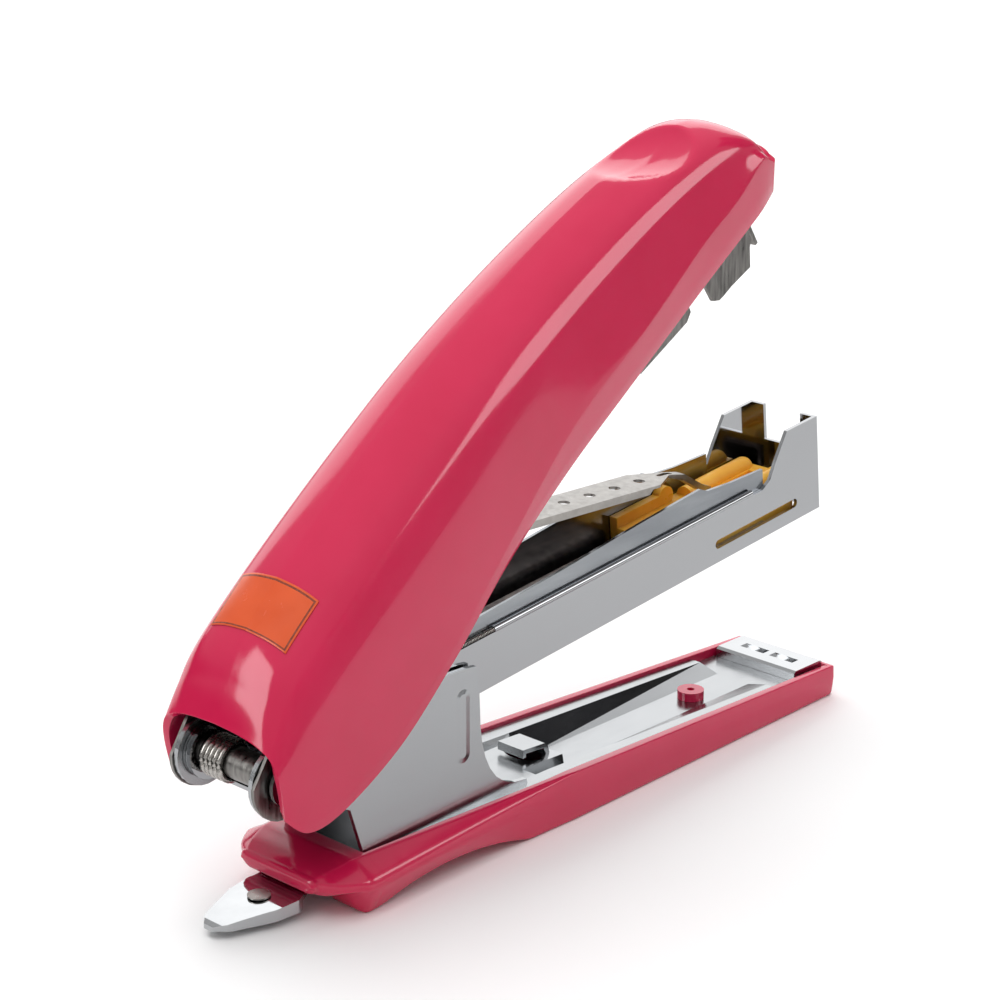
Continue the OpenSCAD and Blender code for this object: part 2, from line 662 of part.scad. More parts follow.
module cover_label() color(label_orange) in_handle() {
    rows = 6;
    ring_loft([for (i = [0 : rows]) let (t = label_from + (label_to - label_from) * i / rows) concat(
        [for (j = [-4 : 4]) let (p = label_point(t, abs(j) / 4, label_gap)) [p[0], sign(j) * p[1], p[2]]],
        [for (j = [4 : -1 : -4]) let (p = label_point(t, abs(j) / 4, label_gap + 0.15)) [p[0], sign(j) * p[1], p[2]]]
    )]);
}

arm_rear_in = cheek_half + 0.1;
arm_front_in = 5.7;
arm_nose_in = 5.48;
arm_top = 7.4;
arm_ear_r = 4.4;
arm_front = 92;
link_pin_at = [27, 4.6];
link_pin_r = 0.9;
lug_in = 3.2;                    // inner face of the lugs that carry the link pin
lug_low = 3.1;

// The arm in side view: ear, wall and the two driver tabs.
function arm_side() = concat(
    arc(0, 0, arm_ear_r, 142, 304, 12),
    [[30, -3.0], [45, -1.9], [66, -1.9], [67.6, -4.2], [77.2, -4.8], [78.4, -4.2], [78.6, -2.0],
        [82, -2.0], [82.2, -6.0], [83.2, -6.8], [90.0, -7.6], [91.2, -5.4], [arm_front, -4.6],
        [arm_front, arm_top], [7, arm_top]]
);

// The arm in plan: wide over the cheeks, narrower over the magazine.
function arm_plan(grow) = [
    [-5, arm_rear_in + grow], [37, arm_rear_in + grow], [56, arm_front_in + grow], [84, arm_front_in + grow],
    [86, arm_nose_in + grow], [arm_front + 1, arm_nose_in + grow]
];

module driver_arm() color(dark_steel) in_handle() difference() {
    union() {
        both_sides() intersection() {
            side_plate(arm_side(), 0, 9);
            translate([0, 0, -10]) linear_extrude(20)
                polygon(concat(arm_plan(arm_sheet), [for (k = [5 : -1 : 0]) arm_plan(0)[k]]));
        }
        intersection() {
            translate([7, -9, arm_top - arm_sheet]) cube([arm_front - 7, 18, arm_sheet]);
            translate([0, 0, -10]) linear_extrude(20)
                polygon(concat(arm_plan(arm_sheet), mirrored(arm_plan(arm_sheet))));
        }
        // lugs folded down inside for the link pin
        both_sides() translate([link_pin_at[0] - 2, lug_in, lug_low])
            cube([4, arm_sheet, arm_top - arm_sheet / 2 - lug_low]);
    }
    cross_rod(0, 0, pin_hole_r, -9, 9);
    cross_rod(link_pin_at[0], link_pin_at[1], link_pin_r + 0.02, -9, 9);
    for (along = [84, 89]) translate([along, 0, 0]) cylinder(r = 0.82, h = 10, $fn = round_fn);
}

blade_at = 93.7;
blade_sheet = 0.5;
blade_half = 4.2;
blade_low = -7.7;

// Driver blade: folded strip riveted under the arm.
module driver_blade() color(dark_steel) in_handle() difference() {
    union() {
        translate([blade_at, -blade_half, blade_low])
            cube([blade_sheet, 2 * blade_half, arm_top - arm_sheet - blade_low - 0.03]);
        translate([81, -blade_half, arm_top - arm_sheet - blade_sheet - 0.03])
            cube([blade_at - 81 + 0.1, 2 * blade_half, blade_sheet]);
    }
    for (along = [84, 89]) translate([along, 0, 0]) cylinder(r = 0.82, h = 10, $fn = round_fn);
}

module blade_rivets() color(steel) in_handle() for (along = [84, 89]) {
    translate([along, 0, arm_top - arm_sheet - blade_sheet - 0.35]) cylinder(r = 0.8, h = 1.6, $fn = round_fn);
    translate([along, 0, arm_top + 0.02]) cylinder(r = 1.3, h = 0.45, $fn = round_fn);
}

module link_pin() color(steel) in_handle() {
    lug_out = lug_in + arm_sheet;
    cross_rod(link_pin_at[0], link_pin_at[1], link_pin_r, -lug_out - 0.1, lug_out + 0.1);
    both_sides() cross_rod(link_pin_at[0], link_pin_at[1], 1.3, lug_out + 0.02, lug_out + 0.35);
}

// Clips moulded for the arm: the cover hangs on these two bars.
module cover_clips() color(pink) in_handle() for (along = [46, 70])
    translate([along, -5, arm_top + 0.05]) cube([2, 10, 4.5]);

// ---------- link plate ----------

link_half = 2.8;
link_sheet = 0.35;
link_eye_r = 1.5;
link_slope = -8.6;               // plate angle to the magazine at rest
link_bend_at = 51;               // where the neck starts to curl down
hole_pitch = 4.65;
hole_first = 32.2;
neck_half = 0.75;

module link_plate() color(steel) in_handle() translate([link_pin_at[0], 0, link_pin_at[1]])
    rotate([0, handle_tilt - magazine_tilt - link_slope, 0]) {
        difference() {
            union() {
                intersection() {
                    side_plate([
                        [0, -link_eye_r], [3, 0.2 - link_sheet], [link_bend_at, 0.2 - link_sheet],
                        [54, -0.7 - link_sheet], [58, -2.9 - link_sheet], [59.6, -2.9 - link_sheet],
                        [59.7, -2.6 - link_sheet], [58.2, -2.5], [54.2, -0.3], [link_bend_at + 0.3, 0.2],
                        [3, 0.2], [0, link_eye_r]
                    ], -link_half, link_half);
                    translate([0, 0, -8]) linear_extrude(16) polygon([
                        [-2, -link_half], [47, -link_half], [51, -neck_half], [61, -neck_half],
                        [61, neck_half], [51, neck_half], [47, link_half], [-2, link_half]
                    ]);
                }
                cross_rod(0, 0, link_eye_r, -link_half, link_half);
                // edges turned down
                both_sides() side_plate([[3, 0.2], [46, 0.2], [45, -0.75], [4, -0.75]],
                    link_half - link_sheet, link_half);
            }
            cross_rod(0, 0, link_pin_r + running_gap, -5, 5);
            for (k = [0 : 3]) translate([hole_first + hole_pitch * k, 0, -2]) cylinder(r = 0.75, h = 4, $fn = round_fn);
            slot_solid(50, 52, 0, 0.35, -3, 3);
        }
    }

// ---------- assembly ----------

base_cover();
base_frame();
anvil();
plate_stud();
staple_remover();
remover_rivet();
pivot_pin();
pivot_washers();
return_spring();
magazine_channel();
staple_liner();
staple_rail();
rail_rivets();
pivot_bush();
pusher_springs();
staple_pusher();
link_plate();
handle_cover();
cover_label();
driver_arm();
driver_blade();
blade_rivets();
link_pin();
cover_clips();
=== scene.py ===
import json
import math

import bmesh
import bpy
from mathutils import Matrix, Vector

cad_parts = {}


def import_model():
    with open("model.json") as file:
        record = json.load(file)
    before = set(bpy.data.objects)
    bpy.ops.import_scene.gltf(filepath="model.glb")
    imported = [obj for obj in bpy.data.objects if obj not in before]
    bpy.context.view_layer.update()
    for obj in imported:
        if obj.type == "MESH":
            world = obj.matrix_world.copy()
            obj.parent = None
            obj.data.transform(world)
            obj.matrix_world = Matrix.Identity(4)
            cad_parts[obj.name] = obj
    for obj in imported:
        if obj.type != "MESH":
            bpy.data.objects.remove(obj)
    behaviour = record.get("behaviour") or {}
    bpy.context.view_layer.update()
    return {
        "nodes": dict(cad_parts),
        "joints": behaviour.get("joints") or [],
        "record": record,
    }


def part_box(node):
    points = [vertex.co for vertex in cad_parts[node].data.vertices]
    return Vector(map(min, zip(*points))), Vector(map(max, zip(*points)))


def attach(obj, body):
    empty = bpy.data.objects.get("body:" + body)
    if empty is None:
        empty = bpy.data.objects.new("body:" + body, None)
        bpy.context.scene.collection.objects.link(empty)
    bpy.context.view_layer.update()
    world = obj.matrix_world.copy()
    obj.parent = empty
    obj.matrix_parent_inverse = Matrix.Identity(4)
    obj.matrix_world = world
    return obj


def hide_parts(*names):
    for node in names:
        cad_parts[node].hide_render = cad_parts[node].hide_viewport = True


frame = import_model()
nodes = frame["nodes"]

MM = 0.001
HANDLE_TILT = math.radians(33.1)

pin_low, pin_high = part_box("pivot_pin")
HINGE = Vector(((pin_low[0] + pin_high[0]) / 2, 0, (pin_low[2] + pin_high[2]) / 2))
slide = next(j for j in frame["joints"] if j["name"] == "pusher_slide")
MAGAZINE_TILT = math.atan2(slide["axis"][2], slide["axis"][0])


# ---------- geometry helpers ----------

def tilted(tilt):
    """A function that takes (along, across, up) in millimetres from the hinge axis to the row frame."""
    c, s = math.cos(tilt), math.sin(tilt)
    return lambda p: HINGE + Vector((p[0] * c - p[2] * s, p[1], p[0] * s + p[2] * c)) * MM


in_handle = tilted(HANDLE_TILT)
in_magazine = tilted(MAGAZINE_TILT)


def on_floor(p):
    """From (distance from the hinge, across, height above the table) in millimetres to the row frame."""
    return Vector((HINGE.x + p[0] * MM, p[1] * MM, max(0.0, p[2]) * MM))


def smooth(values, t):
    """Catmull-Rom through a list of numbers or tuples, at t from 0 to 1. The same curve as in the CAD."""
    span = min(max(t, 0.0), 1.0) * (len(values) - 1)
    k = min(int(span), len(values) - 2)
    f = span - k
    a, b, c, d = (values[max(0, min(len(values) - 1, k + i))] for i in (-1, 0, 1, 2))
    if not isinstance(b, (tuple, list)):
        return smooth([(v,) for v in values], t)[0]
    return tuple(
        q + (r - p) * f / 2 + (2 * p - 5 * q + 4 * r - s) * f * f / 2 + (3 * q - p - 3 * r + s) * f ** 3 / 2
        for p, q, r, s in zip(a, b, c, d)
    )


def mesh_piece(name, points, faces, body, material):
    """A smooth-shaded piece from row-frame points, riding on a body of the CAD frame."""
    mesh = bpy.data.meshes.new(name)
    mesh.from_pydata([tuple(p) for p in points], [], faces)
    mesh.validate()
    mesh.update()
    piece = bpy.data.objects.new(name, mesh)
    bpy.context.scene.collection.objects.link(piece)
    piece.data.materials.append(material)
    for face in mesh.polygons:
        face.use_smooth = True
    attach(piece, body)
    return piece


def grid_faces(rows, columns, closed=False):
    """Quads over a grid of points, row after row; closed joins the last column to the first."""
    faces = []
    for i in range(rows - 1):
        for j in range(columns if closed else columns - 1):
            k = (j + 1) % columns
            faces.append((i * columns + j, i * columns + k, (i + 1) * columns + k, (i + 1) * columns + j))
    return faces


def bevel(piece, width, segments=2, angle=30):
    """Rounds the edges sharper than angle degrees by width millimetres."""
    mod = piece.modifiers.new("rounded_edges", "BEVEL")
    mod.width = width * MM
    mod.segments = segments
    mod.limit_method = "ANGLE"
    mod.angle_limit = math.radians(angle)
    mod.miter_outer = "MITER_ARC"


def outward(piece):
    """Turns every face of a hollow, open piece away from its middle."""
    mesh = piece.data
    middle = sum((v.co for v in mesh.vertices), Vector()) / len(mesh.vertices)
    facing = sum(f.normal.dot(f.center - middle) * f.area for f in mesh.polygons)
    if facing < 0:
        mesh.flip_normals()


def face_outside(mesh, weld=None):
    """Turns every face of a closed mesh outwards, after joining points nearer than weld metres."""
    clean = bmesh.new()
    clean.from_mesh(mesh)
    if weld is not None:
        bmesh.ops.remove_doubles(clean, verts=clean.verts, dist=weld)
    bmesh.ops.recalc_face_normals(clean, faces=clean.faces)
    clean.to_mesh(mesh)
    clean.free()


def keep_normals(piece):
    """Shades the flat faces flat beside their rounded edges."""
    mod = piece.modifiers.new("flat_face_normals", "WEIGHTED_NORMAL")
    mod.keep_sharp = True
    mod.weight = 80


# ---------- materials ----------

# the painted shade on the sheet between the cheeks, in metres: how far forward, how high and how far sideways
# it goes
CHEEK_FRONT, CHEEK_FOOT, CHEEK_INSIDE = HINGE.x + 0.024, 0.0068, 0.0058
# the pressed rib near the front edge of each cheek, in metres
RIB_AT, RIB_LOW, RIB_HIGH, RIB_HALF = HINGE.x + 0.0282, 0.0132, 0.0202, 0.0011
# how far it is raised in millimetres, and the share of its half width that is level on top
RIB_HEIGHT, RIB_CREST = 0.2, 0.45
# a bank of the trough leans sideways and looks up at least this much, and its painted shade is this strong
BANK_LEAN, BANK_UP, BANK_SHADE = 0.35, 0.5, 0.85
NOISE_GRAIN = 0.55


class Shader:
    """A principled material with a few procedural layers added to it."""

    def __init__(self, name, metallic=0.0, roughness=0.3, **sockets):
        self.material = bpy.data.materials.new(name)
        self.material.use_nodes = True
        self.tree = self.material.node_tree
        self.main = self.tree.nodes["Principled BSDF"]
        self.main.inputs["Metallic"].default_value = metallic
        self.main.inputs["Roughness"].default_value = roughness
        for socket, value in sockets.items():
            self.main.inputs[socket.replace("_", " ")].default_value = value
        self.place = self.tree.nodes.new("ShaderNodeTexCoord").outputs["Object"]
        self.height = None

    def noise(self, size, stretch=(1, 1, 1), turn=(0, 0, 0), detail=4.0):
        """Noise whose features are about size millimetres, stretched by the factors given along each axis."""
        mapping = self.tree.nodes.new("ShaderNodeMapping")
        mapping.inputs["Rotation"].default_value = [math.radians(a) for a in turn]
        mapping.inputs["Scale"].default_value = [1 / (size * MM * s) for s in stretch]
        self.tree.links.new(self.place, mapping.inputs["Vector"])
        noise = self.tree.nodes.new("ShaderNodeTexNoise")
        noise.inputs["Scale"].default_value = 1.0
        noise.inputs["Detail"].default_value = detail
        noise.inputs["Roughness"].default_value = NOISE_GRAIN
        self.tree.links.new(mapping.outputs["Vector"], noise.inputs["Vector"])
        return noise.outputs["Fac"]

    def ramp(self, value, low, high, start=0.3, end=0.7):
        """From low, where value is start or less, to high, where it is end or more."""
        node = self.tree.nodes.new("ShaderNodeMapRange")
        node.inputs["From Min"].default_value = start
        node.inputs["From Max"].default_value = end
        node.inputs["To Min"].default_value = low
        node.inputs["To Max"].default_value = high
        self.tree.links.new(value, node.inputs["Value"])
        return node.outputs["Result"]

    def calc(self, kind, *values):
        """A math node of the given kind; each value is a number or an output."""
        node = self.tree.nodes.new("ShaderNodeMath")
        node.operation = kind
        for k, value in enumerate(values):
            if isinstance(value, (int, float)):
                node.inputs[k].default_value = value
            else:
                self.tree.links.new(value, node.inputs[k])
        return node.outputs[0]

    def split(self, vector):
        """The X, Y and Z outputs of a vector."""
        node = self.tree.nodes.new("ShaderNodeSeparateXYZ")
        self.tree.links.new(vector, node.inputs["Vector"])
        return node.outputs

    def facing(self):
        """The X, Y and Z of the way the surface faces."""
        return self.split(self.tree.nodes.new("ShaderNodeNewGeometry").outputs["Normal"])

    def capsule(self, along, low, high, half):
        """1 on an upright rib with round ends, falling to 0 at its edge. Sizes in metres in the row frame."""
        at = self.split(self.place)
        off = self.calc("SUBTRACT", at["X"], along)
        rise = self.calc("ABSOLUTE", self.calc("SUBTRACT", at["Z"], (low + high) / 2))
        rise = self.calc("MAXIMUM", self.calc("SUBTRACT", rise, (high - low) / 2), 0.0)
        squares = self.calc("ADD", self.calc("MULTIPLY", off, off), self.calc("MULTIPLY", rise, rise))
        return self.ramp(self.calc("SQRT", squares), 1.0, 0.0, half * RIB_CREST, half)

    def shade_between_cheeks(self):
        """1 on the part of the plate that lies between the cheeks, where the sheet is darkened as painted
        shade.
        """
        at = self.split(self.place)
        rear = self.calc("LESS_THAN", at["X"], CHEEK_FRONT)
        low = self.calc("LESS_THAN", at["Z"], CHEEK_FOOT)
        inside = self.calc("LESS_THAN", self.calc("ABSOLUTE", at["Y"]), CHEEK_INSIDE)
        return self.calc("MULTIPLY", self.calc("MULTIPLY", rear, low), inside)

    def banks(self):
        """1 on the sloping banks of the pressed trough, where they get painted shade."""
        facing = self.facing()
        sideways = self.calc("GREATER_THAN", self.calc("ABSOLUTE", facing["Y"]), BANK_LEAN)
        return self.calc("MULTIPLY", sideways, self.calc("GREATER_THAN", facing["Z"], BANK_UP))

    def vary_roughness(self, value, low, high):
        """Roughness from low to high with value; their mean is the flat roughness."""
        self.main.inputs["Roughness"].default_value = (low + high) / 2
        self.tree.links.new(self.ramp(value, low, high), self.main.inputs["Roughness"])

    def vary_color(self, value, color, other, start=0.3, end=0.7):
        """Colour from one to the other with value; their mean is the flat colour."""
        self.main.inputs["Base Color"].default_value = (*((a + b) / 2 for a, b in zip(color, other)), 1)
        mix = self.tree.nodes.new("ShaderNodeMix")
        mix.data_type = "RGBA"
        mix.inputs["A"].default_value = (*color, 1)
        mix.inputs["B"].default_value = (*other, 1)
        self.tree.links.new(self.ramp(value, 0, 1, start, end), mix.inputs["Factor"])
        self.tree.links.new(mix.outputs["Result"], self.main.inputs["Base Color"])

    def bump(self, value, depth, strength=1.0):
        """Raises the surface by up to depth millimetres where value is high."""
        node = self.tree.nodes.new("ShaderNodeBump")
        node.inputs["Distance"].default_value = depth * MM
        node.inputs["Strength"].default_value = strength
        self.tree.links.new(value, node.inputs["Height"])
        if self.height is not None:
            self.tree.links.new(self.height, node.inputs["Normal"])
        self.height = node.outputs["Normal"]
        self.tree.links.new(self.height, self.main.inputs["Normal"])


def pink_plastic():
    shader = Shader("body_plastic", IOR=1.52)
    shader.vary_color(shader.noise(9, detail=2), (0.585, 0.009, 0.064), (0.615, 0.011, 0.072))
    shader.vary_roughness(shader.noise(1.6), 0.08, 0.14)
    shader.bump(shader.noise(0.35, detail=3), 0.0012, 0.5)
    shader.bump(shader.noise(14, detail=1), 0.02, 0.4)
    return shader.material


def polish(shader):
    """The plating of the frame and the magazine: fine drawn lines over faint waves."""
    shader.vary_roughness(shader.noise(2.2, (4, 1, 1)), 0.05, 0.13)
    shader.bump(shader.noise(0.25, (12, 1, 1), detail=2), 0.0006, 0.5)
    shader.bump(shader.noise(7, detail=1), 0.02, 0.5)


def chrome():
    shader = Shader("frame_chrome", metallic=1.0)
    shader.vary_color(shader.noise(5, (3, 1, 1)), (0.415, 0.425, 0.435), (0.45, 0.46, 0.47))
    polish(shader)
    return shader.material


def remover_chrome():
    shader = Shader("remover_chrome", metallic=1.0)
    shader.vary_color(shader.noise(3), (0.44, 0.45, 0.46), (0.48, 0.49, 0.50))
    shader.vary_roughness(shader.noise(1.8), 0.04, 0.09)
    shader.bump(shader.noise(4, detail=1), 0.01, 0.5)
    return shader.material


def pressed_chrome_shaded():
    """The base frame: the same plating over a duller pressed sheet, with painted shade between the cheeks and
    on the trough's banks.
    """
    shader = Shader("pressed_chrome_shaded", metallic=1.0)
    # painted shade: the sheet is darkened between the cheeks and on the banks of the trough
    painted_shade = shader.calc("MAXIMUM", shader.shade_between_cheeks(), shader.calc("MULTIPLY", shader.banks(), BANK_SHADE))
    shader.vary_color(painted_shade, (0.35, 0.36, 0.37), (0.03, 0.03, 0.032), 0, 1)
    shader.vary_roughness(shader.noise(2.2, (3, 1, 1)), 0.18, 0.27)
    shader.bump(shader.noise(0.25, (8, 1, 1), detail=2), 0.0008, 0.5)
    shader.bump(shader.noise(8, detail=1), 0.015, 0.5)
    shader.bump(shader.capsule(RIB_AT, RIB_LOW, RIB_HIGH, RIB_HALF), RIB_HEIGHT)
    return shader.material


def rail_steel():
    shader = Shader("rail_steel", metallic=0.3)
    shader.vary_color(shader.noise(0.9, turn=(0, 6, 0), detail=3), (0.14, 0.10, 0.095), (0.42, 0.34, 0.29))
    shader.vary_roughness(shader.noise(1.5, (8, 1, 1)), 0.28, 0.44)
    shader.bump(shader.noise(0.12, (20, 1, 1), detail=2), 0.001, 0.6)
    return shader.material


def channel_chrome_shaded_below():
    """The magazine: bright sides, with painted shade on the underside."""
    shader = Shader("channel_chrome_shaded_below", metallic=1.0)
    # painted shade: darker where the surface faces down
    shader.vary_color(shader.facing()["Z"], (0.17, 0.17, 0.18), (0.345, 0.35, 0.36), -0.8, -0.5)
    polish(shader)
    return shader.material


def liner_steel():
    shader = Shader("liner_steel", metallic=1.0)
    shader.vary_color(shader.noise(3, (8, 1, 1)), (0.17, 0.18, 0.195), (0.29, 0.305, 0.32))
    shader.vary_roughness(shader.noise(1.5, (6, 1, 1)), 0.13, 0.26)
    shader.bump(shader.noise(0.12, (20, 1, 1), detail=2), 0.001, 0.6)
    return shader.material


def link_steel():
    shader = Shader("link_steel", metallic=1.0)
    shader.vary_color(shader.noise(1.2), (0.28, 0.265, 0.25), (0.335, 0.32, 0.30))
    shader.vary_roughness(shader.noise(0.7), 0.26, 0.42)
    shader.bump(shader.noise(0.18, detail=3), 0.003, 0.6)
    return shader.material


def driver_steel():
    shader = Shader("driver_steel", metallic=1.0)
    streaks = shader.noise(0.5, (1, 1, 9), (0, 20, 0), detail=5)
    shader.vary_color(streaks, (0.11, 0.105, 0.10), (0.27, 0.26, 0.245))
    shader.vary_roughness(streaks, 0.26, 0.46)
    shader.bump(shader.noise(0.15, (1, 1, 14), (0, 20, 0), detail=3), 0.004, 0.7)
    return shader.material


def spring_steel():
    shader = Shader("spring_steel", metallic=1.0)
    shader.vary_color(shader.noise(0.8), (0.34, 0.32, 0.30), (0.50, 0.48, 0.45))
    shader.vary_roughness(shader.noise(0.4), 0.18, 0.34)
    shader.bump(shader.noise(0.1), 0.002, 0.5)
    return shader.material


def amber_plastic():
    shader = Shader("pusher_plastic", Subsurface_Weight=0.25, Subsurface_Scale=0.0012)
    shader.main.inputs["Subsurface Radius"].default_value = (1.0, 0.5, 0.12)
    shader.vary_color(shader.noise(3.5, detail=2), (0.86, 0.42, 0.04), (0.93, 0.50, 0.055))
    shader.vary_roughness(shader.noise(0.9), 0.26, 0.4)
    shader.bump(shader.noise(0.2, detail=3), 0.003, 0.5)
    return shader.material


def label_print():
    shader = Shader("label")
    shader.vary_color(shader.noise(4.0, detail=1), (0.67, 0.078, 0.010), (0.73, 0.094, 0.015))
    shader.vary_roughness(shader.noise(1.5), 0.18, 0.28)
    shader.bump(shader.noise(5.0, detail=1), 0.01, 0.4)
    return shader.material


def label_border():
    shader = Shader("label_border")
    shader.vary_color(shader.noise(0.6, detail=2), (0.17, 0.03, 0.01), (0.26, 0.045, 0.015))
    shader.vary_roughness(shader.noise(1.0), 0.2, 0.32)
    return shader.material


materials = {
    "body_plastic": pink_plastic(),
    "frame_chrome": chrome(),
    "liner_steel": liner_steel(),
    "link_steel": link_steel(),
    "driver_steel": driver_steel(),
    "spring_steel": spring_steel(),
    "pusher_plastic": amber_plastic(),
    "label": label_print(),
}
slot_of = {s["node"]: s["material_slot"] for s in frame["record"]["subparts"]}

# nodes whose finish differs from the rest of their material slot
plated = remover_chrome()
finish_of = {
    "staple_rail": rail_steel(), "pivot_washers": plated, "pivot_pin": plated, "base_frame": pressed_chrome_shaded(),
    "magazine_channel": channel_chrome_shaded_below(), "staple_remover": plated,
}
for node, piece in nodes.items():
    piece.data.materials.clear()
    piece.data.materials.append(finish_of.get(node, materials[slot_of[node]]))

# edge rounding of the CAD nodes in millimetres
ROUNDED = {
    "base_frame": 0.14, "anvil": 0.2, "plate_stud": 0.25, "staple_remover": 0.14, "remover_rivet": 0.06,
    "pivot_pin": 0.15, "pivot_washers": 0.06, "magazine_channel": 0.12, "staple_liner": 0.1,
    "staple_rail": 0.1, "rail_rivets": 0.06, "pivot_bush": 0.08, "staple_pusher": 0.16, "link_plate": 0.09,
    "driver_arm": 0.12, "driver_blade": 0.1, "blade_rivets": 0.12, "link_pin": 0.12, "cover_clips": 0.2,
}
for node, width in ROUNDED.items():
    bevel(nodes[node], width)
    keep_normals(nodes[node])


# ---------- handle cover ----------

# (along, up) of the crown and the hem in millimetres from the hinge, evenly spaced from rear to nose
CROWN = [(0.1, 7.1), (3.5, 9.55), (8.5, 12.05), (20, 14.1), (35, 15.6), (50, 16.5), (65, 16.3), (79, 15.0),
         (89, 12.9), (95, 10.8), (98.6, 7.4), (99.9, 3.3)]
HEM = [(-3.5, -1.5), (-2.0, -5.4), (3, -7.4), (13, -8.0), (24, -6.4), (36, -4.1), (50, -2.9), (66, -2.5),
       (80, -2.3), (89, -2.2), (94.5, -2.2), (98.1, -2.2)]
# at the same places, the half width in millimetres and the height of the crease as a share of the side's
FLANK = [9.6, 9.9, 10.05, 10.05, 9.9, 9.6, 9.25, 8.75, 8.2, 7.95, 7.7, 7.0]
CREASE = [0.07, 0.07, 0.07, 0.07, 0.07, 0.12, 0.26, 0.28, 0.37, 0.43, 0.66, 0.84]
CREASE_MAX, CREASE_ROUND = 0.68, 0.12
SIDE_TOP = 0.76
# the section is round up to the first share of the length and creased from the second on
ROUND_TO, CREASED_FROM = 0.38, 0.58
COVER_WALL = 0.85
STATIONS, NOSE_STATIONS, SIDE_STEPS = 150, 8, 30
# the nose: where it starts to round off, how far it goes on, and the height its rings shrink towards
NOSE_FROM, NOSE_REACH, NOSE_HALF, NOSE_UP = 0.99, 0.9, 6, 2.0
# its flat: how far the middle stands out, its height, and the sizes of the rings that close it
FLAT_OUT, FLAT_UP, FLAT_RINGS = 0.05, 1.2, (0.85, 0.6, 0.3)
DIMPLE_AT, DIMPLE_LONG, DIMPLE_WIDE, DIMPLE_DEEP = 86.6, 6.6, 5.8, 2.1
# the power its bowl falls off with, how far it leans forward, and the height it reaches down to
DIMPLE_ROUND, DIMPLE_LEAN, DIMPLE_FROM = 2.2, 0.2, 6


def section(t):
    """Half cross section of the cover from hem to crown, as (share of half width, share of height)."""
    crease = min(smooth(CREASE, t), CREASE_MAX)
    f = max(0.0, min(1.0, (t - ROUND_TO) / (CREASED_FROM - ROUND_TO)))
    f = f * f * (3 - 2 * f)
    rise = SIDE_TOP - crease
    rounded = [(0.95, 0), (0.975, crease), (1, 0.36), (0.985, 0.58), (0.94, 0.72), (0.87, 0.82),
               (0.76, 0.885), (0.6, 0.94), (0.33, 0.982), (0, 1)]
    creased = [(0.88, 0), (1, crease), (0.965, crease + rise / 3), (0.925, crease + rise * 2 / 3),
               (0.885, SIDE_TOP), (0.84, 0.82), (0.75, 0.88), (0.58, 0.935), (0.3, 0.982), (0, 1)]
    rows = [(a[0] + (b[0] - a[0]) * f, a[1] + (b[1] - a[1]) * f) for a, b in zip(rounded, creased)]
    hem, curve = rows[0], rows[1:]
    # the crease itself is a small round between the chamfer and the side
    low = [tuple(h + (c - h) * k for h, c in zip(hem, curve[0])) for k in (0.0, 0.35, 0.7, 1 - CREASE_ROUND)]
    side = [smooth(curve, k / SIDE_STEPS) for k in range(SIDE_STEPS + 1)]
    start = tuple(c + (n - c) * CREASE_ROUND for c, n in zip(side[0], side[2]))
    bend = [tuple((1 - k) ** 2 * x + 2 * k * (1 - k) * y + k * k * z
                  for x, y, z in zip(low[-1], curve[0], start)) for k in (0.25, 0.5, 0.75)]
    return low + bend + [start] + side[2:]


def cover_point(t, share, inset=0.0):
    """A point of the cover in millimetres, inset millimetres inside it."""
    top, low = smooth(CROWN, t), smooth(HEM, t)
    half = smooth(FLANK, t) - inset
    along = low[0] + (top[0] - low[0]) * share[1] - inset * t ** 12
    up = low[1] + (top[1] - inset - low[1]) * share[1]
    return along, half * share[0], up


def dimpled(p):
    """A point of the cover, with the thumb dimple pressed into the top of the nose."""
    r = math.hypot((p[0] - DIMPLE_AT) / DIMPLE_LONG, p[1] / DIMPLE_WIDE)
    deep = DIMPLE_DEEP * (1 - r ** DIMPLE_ROUND) if r < 1 else 0.0
    return p[0] + DIMPLE_LEAN * deep, p[1], p[2] - (deep if p[2] > DIMPLE_FROM else 0)


def handle_cover():
    """The cover: half sections mirrored into rings from rear to nose, a flat nose, then a wall inside them."""
    points = []
    for i in range(STATIONS + NOSE_STATIONS + 1):
        t = min(1.0, i / STATIONS) * NOSE_FROM
        turn = max(0, i - STATIONS) / NOSE_STATIONS * math.pi / 2
        push, shrink = NOSE_REACH * math.sin(turn), 1 - NOSE_REACH * (1 - math.cos(turn)) / NOSE_HALF
        half_ring = section(t)
        ring = [cover_point(t, share) for share in half_ring]
        ring = [(p[0] + push, p[1] * shrink, NOSE_UP + (p[2] - NOSE_UP) * shrink) for p in ring]
        ring = [dimpled(p) for p in ring]
        points += [(p[0], -p[1], p[2]) for p in ring] + [p for p in reversed(ring[:-1])]
    columns = 2 * len(half_ring) - 1
    rows = len(points) // columns
    faces = grid_faces(rows, columns)
    # the flat of the nose: rings that close towards its middle
    last = points[-columns:]
    middle = Vector((max(p[0] for p in last) + FLAT_OUT, 0.0, FLAT_UP))
    for share in FLAT_RINGS:
        points += [tuple(middle.lerp(Vector(p), share)) for p in last]
    for ring in range(len(FLAT_RINGS)):
        start = (rows - 1 + ring) * columns
        for j in range(columns - 1):
            faces.append((start + j, start + j + 1, start + columns + j + 1, start + columns + j))
    start = (rows - 1 + len(FLAT_RINGS)) * columns
    faces.append(tuple(start + j for j in range(columns)))
    cover = mesh_piece("cover_shell", [in_handle(p) for p in points], faces, "handle",
                       materials["body_plastic"])
    wall = cover.modifiers.new("wall", "SOLIDIFY")
    wall.thickness = COVER_WALL * MM
    wall.offset = -1.0
    wall.use_even_offset = False
    outward(cover)
    bevel(cover, 0.22, 3, 50)
    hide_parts("handle_cover")


handle_cover()


# ---------- base cover ----------

